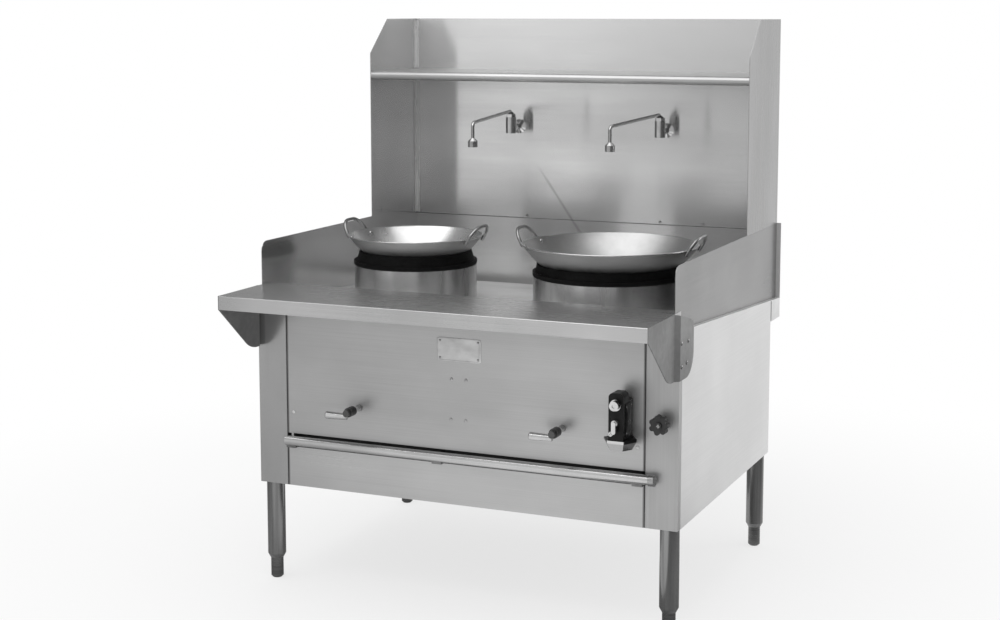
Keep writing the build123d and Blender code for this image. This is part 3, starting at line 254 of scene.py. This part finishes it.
def slotted_heads(centres, axes, radius, height):
    """Round screw heads: a quarter ellipse turned on the axis over a short rim, with a slot sunk
    where the distance from a line through the middle is under a seventh of the radius."""
    rise = np.linspace(0, np.pi / 2, 13)
    reach = np.concatenate(((0.0, 1.0), np.cos(rise))) * radius
    level = np.concatenate(((0.0, 0.0), 0.3 + 0.7 * np.sin(rise))) * height
    heads = turned(np.stack((reach, level), 1), centres, axes, 32)
    offset = reach[:, None] * np.cos(np.linspace(0, 2 * np.pi, 32, endpoint=False) + 0.7)
    sunk = (np.abs(offset) < radius / 7) & (level > 0.4 * height)[:, None]
    axes = np.broadcast_to(np.atleast_2d(axes), np.atleast_2d(centres).shape)
    return heads - 0.45 * height * sunk[None, :, :, None] * axes[:, None, None]


screw_steel = worn_metal("screw_steel", 0.30, 0.48, 0.26, (90, 90, 90), (30, 30, 30))
satin_screw = worn_metal("satin_screw", 0.50, 0.58, 0.4, (90, 90, 90), (30, 30, 30), metallic=0.6)
panel_screws = [(x * mm, front_face, z * mm) for x, z in
                ((-20, 621), (22, 621), (-22, 512), (21, 512))]
surface("front_panel_screws", slotted_heads(panel_screws, (0, -1, 0), 4.2 * mm, 2.4 * mm), satin_screw,
        "range")
bright_screw = worn_metal("bright_screw", 0.8, 0.92, 0.3, (90, 90, 90), (30, 30, 30), metallic=0.4)
edge_screws = [(x * mm, front_face, 488 * mm) for x in (-501, 501)]
surface("front_edge_screws", slotted_heads(edge_screws, (0, -1, 0), 4.4 * mm, 2.4 * mm), bright_screw,
        "range")
rear_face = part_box("rear_panel")[1].y
rear_screws = [(x * mm, rear_face, z * mm) for x in (-594, 594) for z in (300, 430, 600, 720)]
surface("rear_panel_screws", slotted_heads(rear_screws, (0, 1, 0), 5 * mm, 2.6 * mm), screw_steel,
        "range")

# Nameplate: a thin aluminium plate with a raised border, riveted to the front panel and left bare.
# The metal is paler than the panel and rubbed.
def plate(centre, width, height, bulge):
    """A plate in the upright plane: the outline is a superellipse of power 16, shrunk towards the
    middle row by row while the face steps up a border and down its edge."""
    angle = np.linspace(0, 2 * np.pi, 96, endpoint=False)
    outline = [np.sign(part) * np.abs(part) ** (1 / 8) for part in (np.cos(angle), np.sin(angle))]
    share, step = np.array(bulge).T
    x = centre[0] + share[:, None] * width / 2 * outline[0]
    z = centre[2] + share[:, None] * height / 2 * outline[1]
    return np.stack((x, np.broadcast_to(centre[1] - step[:, None], x.shape), z), -1)


plate_metal = worn_metal("nameplate_aluminium", 0.46, 0.66, 0.34, (8, 90, 40), (18, 18, 26), 0.35)
plate_x, plate_z = 2.5, 700.5
border = [(0, 0.9 * mm), (0.9, 0.9 * mm), (0.92, 1.4 * mm), (0.97, 1.4 * mm), (1, 0.9 * mm), (1, 0),
          (0, 0)]
plate_points = plate((plate_x * mm, front_face, plate_z * mm), 128 * mm, 63 * mm, border)
surface("nameplate", plate_points, plate_metal,
        "range", crease=12)
dome = [(0, 0), (1, 0), (0.94, 0.35), (0.7, 0.72), (0.38, 0.93), (0, 1)]
plate_rivets = [((plate_x + x) * mm, front_face - 0.8 * mm, (plate_z + z) * mm)
                for x in (-55, 55) for z in (-23, 23)]
rivet_heads = turned(np.array(dome) * (3.2 * mm, 1.6 * mm), plate_rivets, (0, -1, 0))
surface("nameplate_rivets", rivet_heads, screw_steel, "range")

# Front shelf and gussets: the shelf is an open-bottomed tray that rests on the posts, and a thick
# plate screwed to each end of it and to the body's side carries the overhang.
shelf_sheet = worn_metal("shelf_sheet", 0.46, 0.58, 0.26, (2, 700, 700), (3, 3, 3), 0.35, 0.8)
dress(shelf_sheet, "front_shelf")
gusset_grey = worn_metal("gusset_plate", 0.20, 0.28, 0.5, (20, 60, 60), (7, 7, 7), 0.3, 0.3)
dress(gusset_grey, "left_gusset", "right_gusset")
gusset_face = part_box("right_gusset")[1].x
gusset_holes = ((-377, 763), (-322, 761), (-375, 703), (-333, 707))
for side, way in (("left", -1), ("right", 1)):
    heads = [(way * gusset_face, y * mm, z * mm) for y, z in gusset_holes]
    surface(f"{side}_gusset_screws", slotted_heads(heads, (way, 0, 0), 5.5 * mm, 3 * mm), screw_steel,
            "range")

# Deck, gutter and drain: one folded sheet that falls to the rear, with the drain's tail through the
# gutter's floor. It is duller than the upright sheets and marked by water.
deck_sheet = worn_metal("deck_sheet", 0.68, 0.84, 0.40, (2, 500, 500), (7, 7, 7), 0.25, 0.6)
dress(deck_sheet, "deck", "drain_tail")

# Splashes: end sheets that stand on the shelf and the deck, the low rear sheet, the tall backsplash
# above the seam, the wings and the cover behind. The backsplash is the brightest and smoothest.
splash_sheet = worn_metal("left_splash_sheet", 0.58, 0.68, 0.16, (700, 2, 700), (3, 3, 3), 0.3, 0.85, 0.015)
dress(splash_sheet, "left_end_splash")
# The right end splash and the right wing take the same stainless as the left ones at a much lower tone:
# painted shade on the right.
right_splash_shaded_tone = worn_metal("right_splash_painted_shade", 0.23, 0.29, 0.24, (700, 2, 700), (3, 3, 3), 0.3, 0.8)
dress(right_splash_shaded_tone, "right_end_splash")
wing_sheet = worn_metal("left_wing_sheet", 0.54, 0.64, 0.2, (700, 700, 2), (4, 4, 2), 0.3, 0.75, 0.015)
dress(wing_sheet, "left_wing")
right_wing_shaded_tone = worn_metal("right_wing_painted_shade", 0.31, 0.38, 0.26, (700, 700, 2), (4, 4, 2), 0.3, 0.75)
dress(right_wing_shaded_tone, "right_wing")
tall_sheet = worn_metal("backsplash_sheet", 0.68, 0.78, 0.17, (2, 700, 700),
                        (1.5, 1.5, 7), 0.25, 0.75, 0.012)
tall_sheet.node_tree.nodes["Principled BSDF"].inputs["Anisotropic"].default_value = 0.95
tall_sheet.node_tree.nodes["Principled BSDF"].inputs["Anisotropic Rotation"].default_value = 0.25
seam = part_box("backsplash")[0].z
tree = tall_sheet.node_tree
across, upright = along(tall_sheet, "X"), along(tall_sheet, "Z")
slope, offset = 0.7, 0.602
slant = reckon(tree, "ADD", across, reckon(tree, "MULTIPLY", upright, slope))
slant = reckon(tree, "SUBTRACT", slant, offset)
# A soft band about 9 mm each side of a slanted line across the backsplash, fading out between 1.04 and 1.12
# m up, is darkened to about three quarters.
slanted_darker_band = reckon(tree, "MULTIPLY", ease(tree, reckon(tree, "ABSOLUTE", slant), 0, 9 * mm, 1.0, 0.0),
                 ease(tree, upright, 1.04, 1.12, 1.0, 0.0))
shade(tall_sheet, slanted_darker_band, ((0, 1.0), (1, 0.74)))
joint = reckon(tree, "ABSOLUTE", reckon(tree, "SUBTRACT", along(tall_sheet, "Z"), seam))
overlay_finish(tall_sheet, ease(tree, joint, 0.6 * mm, 2.0 * mm, 1.0, 0.0), 0.10, 0.5, 0.5)
dress(tall_sheet, "backsplash", "rear_splash")
dress(rear_sheet, "back_cover")

# Corner strips: thin folded angles of bright sheet, spot-welded down the two inner corners of the
# upper unit, above and below the overhead shelf.
def carried_up(outline, low, high):
    """A closed outline carried straight up, its ends drawn in to the middle to close them."""
    outline = np.asarray(outline, float)
    middle = np.broadcast_to(outline.mean(0), outline.shape)
    rows = np.stack((middle, outline, outline, middle))
    heights = np.broadcast_to(np.array((low, low, high, high))[:, None, None], (*rows.shape[:2], 1))
    return np.concatenate((rows, heights), -1)


strip_bright = worn_metal("corner_strip", 0.70, 0.82, 0.26, (90, 90, 2), (5, 5, 5), metallic=0.5)
wing_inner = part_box("backsplash")[1].x
back_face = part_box("backsplash")[0].y
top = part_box("backsplash")[1].z
shelf_low, shelf_high = (part.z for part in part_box("overhead_shelf"))
strip, thick = 11 * mm, 1.2 * mm
for side, way in (("left", -1), ("right", 1)):
    corner = np.array([(0, 0), (strip, 0), (strip, thick), (thick, thick), (thick, strip), (0, strip)])
    outline = np.stack((way * (wing_inner - corner[:, 0]), back_face - corner[:, 1]), 1)
    lengths = [carried_up(outline, low, high) for low, high in
               ((seam + 3 * mm, shelf_low - 1 * mm), (shelf_high + 1 * mm, top - 2 * mm))]
    surface(f"{side}_corner_strip", np.stack(lengths), strip_bright, "range")

# Seam screws: steel, with round slotted heads, driven along the backsplash's lower edge and on
# the wings' lower edges.
seam_screws = [(x * mm, back_face, seam + 8 * mm) for x in (-575, -206, 235, 372, 575)]
surface("seam_screws", slotted_heads(seam_screws, (0, -1, 0), 4.5 * mm, 2.6 * mm), screw_steel, "range")
for side, way in (("left", -1), ("right", 1)):
    heads = [(way * wing_inner, y * mm, seam + 34 * mm) for y in (330, 470)]
    surface(f"{side}_wing_screws", slotted_heads(heads, (-way, 0, 0), 4.5 * mm, 2.6 * mm), screw_steel,
            "range")

# Overhead shelf: a stainless sheet between the wings with its front edge rolled round, hung on
# their flanges.
over_sheet = worn_metal("overhead_sheet", 0.42, 0.52, 0.30, (2, 700, 700), (3, 3, 3), 0.35, 0.75)
dress(over_sheet, "overhead_shelf")

# Front rail: bright pipe across the air slot, lying in steel saddles on the slot's ledge and closed by
# a round cap at its right end.
rail_bright = worn_metal("rail_pipe", 0.48, 0.64, 0.2, (2, 300, 300), (6, 6, 6))
dress(rail_bright, "front_rail")
saddle_steel = worn_metal("rail_saddles", 0.16, 0.26, 0.34, (70, 70, 70), (9, 9, 9))
dress(saddle_steel, "rail_saddles")
cap_steel = worn_metal("rail_cap", 0.34, 0.48, 0.26, (30, 200, 200), (9, 9, 9))
dress(cap_steel, "rail_cap")

# Fire chambers: a polished band stands on the deck and a steel pot lined with fired clay hangs in
# it. The bands are brushed bright, the pots are smoked and the clay is pale and dry.
collar_polish = worn_metal("collar_polish", 0.46, 0.66, 0.24, (40, 40, 0.3),
                           (10, 10, 0.3), 0.5, 0.98, 0.02)
collar_polish.node_tree.nodes["Principled BSDF"].inputs["Anisotropic"].default_value = 0.95
collar_polish.node_tree.nodes["Principled BSDF"].inputs["Anisotropic Rotation"].default_value = 0.25
dress(collar_polish, "left_collar", "right_collar")
pot_black = worn_metal("chamber_smoked", 0.015, 0.05, 0.55, (20, 20, 20), (9, 9, 9))
dress(pot_black, "left_chamber", "right_chamber")
clay = worn_metal("lining_clay", (0.05, 0.045, 0.04), (0.30, 0.26, 0.21), 0.88, (35, 35, 35),
                  (9, 9, 5), metallic=0.0, bump=0.4)
dress(clay, "left_lining", "right_lining")

# Burners: grey iron castings with rows of jets. A windowed steel disc turns in front of each
# venturi to set its air.
casting = worn_metal("burner_casting", 0.05, 0.12, 0.6, (120, 120, 120), (14, 14, 14),
                     metallic=0.6, bump=0.3)
dress(casting, "left_burner", "right_burner")
shutter_steel = worn_metal("shutter_steel", 0.3, 0.42, 0.34, (60, 60, 60), (20, 20, 20))
dress(shutter_steel, "left_air_shutter", "right_air_shutter")

# Wok rings: black cast iron, sooty, with a conical seat for the wok. They rest on the chambers
# by their weight.
ring_iron = worn_metal("ring_iron", 0.003, 0.009, 0.62, (150, 150, 150), (22, 22, 22),
                       metallic=0.2, bump=0.3)
ring_iron.node_tree.nodes["Principled BSDF"].inputs["Specular IOR Level"].default_value = 0.15
dress(ring_iron, "left_wok_ring", "right_wok_ring")

# Woks: spun steel bowls, bright inside, dull outside and black with soot where the ring and the
# flame are. Each has two bent-rod handles, riveted through the wall.
# The right wok takes a darker, rougher copy of the same steel: painted shade that dims its highlight.
for side, dark, light, rough, soot in (("left", 0.60, 0.70, 0.28, (-10, 4)),
                                       ("right", 0.44, 0.52, 0.38, (2, 24))):
    wok_steel = worn_metal(f"{side}_wok_steel", dark, light, rough, (50, 50, 50),
                           (9, 9, 9), 0.25, bump=0.02)
    tree = wok_steel.node_tree
    ring_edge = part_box(f"{side}_wok_ring")[1].z
    ragged = add(tree, "TexNoise", Vector=add(tree, "TexCoord").outputs["Object"], Scale=30.0, Detail=4.0)
    soot_edge = 12 * mm
    height = reckon(tree, "ADD", along(wok_steel, "Z"),
                    reckon(tree, "MULTIPLY", ragged.outputs["Fac"], soot_edge))
    low = ease(tree, height, ring_edge + soot[0] * mm, ring_edge + soot[1] * mm, 1.0, 0.0)
    facing = add(tree, "SeparateXYZ", Vector=add(tree, "NewGeometry").outputs["Normal"])
    outside = ease(tree, facing.outputs["Z"], -0.02, 0.02, 1.0, 0.0)
    overlay_finish(wok_steel, outside, 0.34, 0.42, 0.8)
    overlay_finish(wok_steel, reckon(tree, "MULTIPLY", low, outside), 0.008, 0.55, 0.3)
    dress(wok_steel, f"{side}_wok")
handle_steel = worn_metal("handle_rod", 0.24, 0.40, 0.24, (60, 60, 60), (14, 14, 14))
dress(handle_steel, "left_wok_handles", "right_wok_handles")


def rim_bead(centre, radius, bead):
    """A ring of round section: a small circle carried round the rim."""
    turn, across = np.meshgrid(np.linspace(0, 2 * np.pi, 160, endpoint=False),
                               np.linspace(0, 2 * np.pi, 12, endpoint=False), indexing="ij")
    out = radius + bead * np.cos(across)
    return np.stack((centre[0] + out * np.cos(turn), centre[1] + out * np.sin(turn),
                     centre[2] + bead * np.sin(across)), -1)


bead_steel = worn_metal("rim_bead", 0.5, 0.66, 0.2, (30, 30, 30), (9, 9, 9))
rod = 4.5 * mm
for side in ("left", "right"):
    low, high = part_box(f"{side}_wok")
    centre = np.array(((low.x + high.x) / 2, (low.y + high.y) / 2, high.z))
    radius, depth = (high.x - low.x) / 2, high.z - low.z
    surface(f"{side}_wok_rim", rim_bead(centre - (0, 0, 1 * mm), radius - 1 * mm, 2 * mm), bead_steel,
            f"{side}_wok", (True, True))
    sphere = (radius ** 2 + depth ** 2) / (2 * depth)
    middle = centre + (0, 0, sphere - depth)
    spread = (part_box(f"{side}_wok_handles")[1].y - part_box(f"{side}_wok_handles")[0].y) / 2 - rod
    drop = 12 * mm
    reach = math.sqrt(sphere ** 2 - (middle[2] - centre[2] + drop) ** 2 - spread ** 2)
    rivets = np.array([(centre[0] + x * reach, centre[1] + y * spread, centre[2] - drop)
                       for x in (-1, 1) for y in (-1, 1)])
    inward = (middle - rivets) / sphere
    heads = turned(np.array(dome) * (6.5 * mm, 3 * mm), rivets + 1.8 * mm * inward, inward)
    surface(f"{side}_wok_rivets", heads, screw_steel, f"{side}_wok")

# Gas train: black iron pipe behind the front panel, with a brass valve screwed into it for each
# burner. What stands in front of the panel is plated.
pipe_black = worn_metal("gas_pipe", 0.02, 0.05, 0.45, (30, 30, 30), (12, 12, 12), metallic=0.0)
dress(pipe_black, "gas_manifold")
brass = worn_metal("valve_brass", (0.42, 0.32, 0.14), (0.66, 0.53, 0.27), 0.3, (60, 60, 60), (20, 20, 20))
plated = ease(brass.node_tree, along(brass, "Y"), front_face + 2 * mm, front_face + 4 * mm, 1.0, 0.0)
overlay_finish(brass, plated, 0.34, 0.3, 0.9)
dress(brass, "left_gas_valve", "right_gas_valve", "water_valve")

# Knee levers: a polished grip on a black hub, turned by the cook's knee and fixed to the valve's
# stem by a set screw.
hub_front, hub_back, hub = -446.8 * mm, -422 * mm, 13 * mm
for side in ("left", "right"):
    lever_bright = worn_metal(f"{side}_lever_bright", 0.5, 0.72, 0.18, (12, 90, 90), (20, 20, 20))
    tree = lever_bright.node_tree
    place = along(lever_bright, "Y")
    behind = ease(tree, place, hub_front, hub_front + 1 * mm)
    before = ease(tree, place, hub_back, hub_back + 1 * mm, 1.0, 0.0)
    overlay_finish(lever_bright, reckon(tree, "MULTIPLY", behind, before), 0.012, 0.35, 0.0)
    low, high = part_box(f"{side}_knee_lever")
    offsets = [reckon(tree, "SUBTRACT", along(lever_bright, axis), middle)
               for axis, middle in (("X", high.x - hub), ("Z", high.z - hub))]
    squares = [reckon(tree, "POWER", offset, 2.0) for offset in offsets]
    apart = reckon(tree, "SQRT", reckon(tree, "ADD", *squares))
    near_hub = ease(tree, apart, 9.2 * mm, 9.8 * mm, 1.0, 0.0)
    overlay_finish(lever_bright, reckon(tree, "MULTIPLY", near_hub, before), 0.10, 0.3, 0.7)
    dress(lever_bright, f"{side}_knee_lever")

# Pilot safety valve: a deep enamelled body on the panel with a plated bezel round its reset button,
# a small cock, a compression fitting low on its face and a tapered steel nut below.
enamel = worn_metal("valve_enamel", 0.004, 0.012, 0.3, (40, 40, 40), (20, 20, 20), metallic=0.0)
enamel.node_tree.nodes["Principled BSDF"].inputs["Specular IOR Level"].default_value = 0.2
valve_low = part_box("safety_valve_body")[0]
bezel = ease(enamel.node_tree, along(enamel, "Y"), valve_low.y + 4.0 * mm, valve_low.y + 4.4 * mm, 1.0, 0.0)
overlay_finish(enamel, bezel, 0.62, 0.12, 1.0)
nut = ease(enamel.node_tree, along(enamel, "Z"), valve_low.z + 19 * mm, valve_low.z + 19.6 * mm, 1.0, 0.0)
overlay_finish(enamel, nut, 0.45, 0.2, 1.0)
dress(enamel, "safety_valve_body")
chrome = worn_metal("bright_plate", 0.58, 0.68, 0.1, (40, 40, 40), (20, 20, 20))
dress(chrome, "reset_button", "pilot_cock")
hexagon = 1 / np.cos((np.linspace(0, 2 * np.pi, 48, endpoint=False) + np.pi / 6) % (np.pi / 3) - np.pi / 6)
valve_face = valve_low.y + 5 * mm
fitting = np.array([(0, 0), (6, 0), (6, 6), (5.2, 6.6), (3.4, 6.6), (3.4, 11), (1.6, 11), (1.6, 8),
                    (0, 8)]) * mm
fitting_points = turned(fitting, (457.5 * mm, valve_face, 537 * mm), (0, -1, 0), 48, hexagon)
surface("valve_fitting", fitting_points, chrome, "range")
cover = [(0, 2 * mm), (0.92, 2 * mm), (1, 1.2 * mm), (1, 0), (0, 0)]
cover_points = plate((0, 0, 570 * mm), 46 * mm, 84 * mm, cover)
body_right = 489 * mm
surface("valve_side_cover", np.stack((body_right - cover_points[..., 1], cover_points[..., 0] - 424 * mm,
        cover_points[..., 2]), -1), enamel, "range")
cover_screws = [(body_right + 1.8 * mm, y * mm, z * mm) for y in (-440, -408) for z in (536, 604)]
surface("valve_cover_screws", slotted_heads(cover_screws, (1, 0, 0), 3 * mm, 1.8 * mm), screw_steel,
        "range")

# Water: a lobed black knob works the valve behind the right post, and copper pipe climbs behind
# the backsplash to two plated faucets, whose thin spouts swing over the woks.
knob_black = worn_metal("knob_moulding", 0.012, 0.03, 0.42, (60, 60, 60), (30, 30, 30), metallic=0.0)
dress(knob_black, "water_knob")
knob_low, knob_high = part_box("water_knob")
knob_middle = ((knob_low.x + knob_high.x) / 2, knob_low.y, (knob_low.z + knob_high.z) / 2)
surface("knob_screw", slotted_heads(knob_middle, (0, -1, 0), 5 * mm, 2.4 * mm), screw_steel, "water_knob")
copper = worn_metal("copper_pipe", (0.42, 0.22, 0.13), (0.68, 0.40, 0.27), 0.3, (30, 30, 30), (12, 12, 12))
dress(copper, "water_pipes")
dress(chrome, "left_faucet_body", "right_faucet_body")
spout_plate = worn_metal("spout_plate", 0.40, 0.54, 0.16, (40, 40, 40), (20, 20, 20))
dress(spout_plate, "left_spout", "right_spout")

# Studio: a white floor that keeps a soft shadow near the range, a bright room that is dimmer to
# the left and far ahead, with a dark flag on the right, and softboxes overhead and to the right.
floor_mesh = bpy.data.meshes.new("studio_floor")
floor_mesh.from_pydata([(-15, -15, 0), (15, -15, 0), (15, 15, 0), (-15, 15, 0)], [], [(0, 1, 2, 3)])
floor = bpy.data.objects.new("studio_floor", floor_mesh)
bpy.context.scene.collection.objects.link(floor)


def room_light(tree, x, y, far):
    """How bright the room is in a direction: full in front, dimmer round to the left and, far off,
    straight ahead, dark from the edge of a flag on the right, and light again behind on the right."""
    turn = reckon(tree, "ARCTAN2", x, reckon(tree, "MULTIPLY", y, -1.0))
    turn = reckon(tree, "MULTIPLY", turn, 180 / math.pi)
    left = reckon(tree, "MULTIPLY", ease(tree, turn, -44, -19, 0.5, 1.0),
                  ease(tree, turn, -64, -46, 0.5, 1.0))
    right = reckon(tree, "ADD", ease(tree, turn, 29.3, 30.2, 1.0, 0.12),
                   ease(tree, turn, 110, 140, 0.0, 0.78))
    ahead = reckon(tree, "MULTIPLY", ease(tree, turn, -26, -14, 0.0, 0.45),
                   ease(tree, turn, 30, 60, 1.0, 0.0))
    ahead = reckon(tree, "MULTIPLY", ahead, far)
    return reckon(tree, "MULTIPLY", reckon(tree, "MULTIPLY", left, right),
                  reckon(tree, "SUBTRACT", 1.0, ahead))


def seen_by(tree):
    """One for rays from the camera, from a mirror or through glass, nothing for the rest; and the
    camera's own."""
    path = add(tree, "LightPath")
    mirror = reckon(tree, "MAXIMUM", path.outputs["Is Glossy Ray"], path.outputs["Is Transmission Ray"])
    return reckon(tree, "MAXIMUM", mirror, path.outputs["Is Camera Ray"]), path.outputs["Is Camera Ray"]


paper = bpy.data.materials.new("floor_paper")
paper.use_nodes = True
tree = paper.node_tree
tree.nodes.clear()
split = add(tree, "SeparateXYZ", Vector=add(tree, "TexCoord").outputs["Object"])
away = reckon(tree, "SQRT", reckon(tree, "ADD", reckon(tree, "POWER", split.outputs["X"], 2.0),
                                   reckon(tree, "POWER", split.outputs["Y"], 2.0)))
shown, camera_only = seen_by(tree)
clean = reckon(tree, "MULTIPLY", shown, ease(tree, away, 0.9, 2.6, 0.72, 1.0))
around_floor = room_light(tree, split.outputs["X"], split.outputs["Y"], ease(tree, away, 5, 8))
level = reckon(tree, "MAXIMUM", around_floor, camera_only)
matt = add(tree, "BsdfDiffuse", Color=(0.88, 0.88, 0.88, 1))
white = add(tree, "Emission", Color=(1, 1, 1, 1), Strength=level)
mix = add(tree, "MixShader", Fac=clean)
tree.links.new(matt.outputs["BSDF"], mix.inputs[1])
tree.links.new(white.outputs["Emission"], mix.inputs[2])
add(tree, "OutputMaterial", Surface=mix.outputs["Shader"])
floor_mesh.materials.append(paper)

room = bpy.data.worlds.new("studio_room")
bpy.context.scene.world = room
room.use_nodes = True
tree = room.node_tree
tree.nodes.clear()
split = add(tree, "SeparateXYZ", Vector=add(tree, "TexCoord").outputs["Generated"])
shown, camera_only = seen_by(tree)
level = reckon(tree, "MAXIMUM", room_light(tree, split.outputs["X"], split.outputs["Y"], 1.0), camera_only)
soft = reckon(tree, "ADD", reckon(tree, "MULTIPLY", shown, level),
              reckon(tree, "MULTIPLY", reckon(tree, "SUBTRACT", 1.0, shown), 0.65))
walls = add(tree, "Background", Color=(1, 1, 1, 1), Strength=soft)
add(tree, "OutputWorld", Surface=walls.outputs["Background"])

for name, place, aim, size, power in (("overhead_softbox", (-0.3, -0.8, 3.4), (0.0, 0.0, 0.9), 3.2, 55),
                                      ("right_softbox", (4.0, 2.2, 1.8), (0.6, 0.0, 0.6), 2.2, 30)):
    lamp = bpy.data.lights.new(name, "AREA")
    lamp.size = size
    lamp.energy = power
    stand = bpy.data.objects.new(name, lamp)
    bpy.context.scene.collection.objects.link(stand)
    way = np.array(aim) - np.array(place)
    stand.location = place
    stand.rotation_euler = (math.atan2(math.hypot(way[0], way[1]), -way[2]), 0,
                            math.atan2(way[1], way[0]) - math.pi / 2)

# Camera: at the photograph's place, to the right of the middle and a little above the shelf.
lens = bpy.data.cameras.new("view")
lens.sensor_width = 36.0
lens.lens = 63.03
lens.shift_x = -0.0053
lens.shift_y = -0.0798
lens.clip_end = 100
eye = bpy.data.objects.new("view", lens)
bpy.context.scene.collection.objects.link(eye)
eye.location = (1.9136, -4.4984, 1.5900)
eye.rotation_euler = (math.radians(82.82), 0.0, math.radians(23.37))
bpy.context.scene.camera = eye
bpy.context.scene.view_settings.view_transform = "Standard"
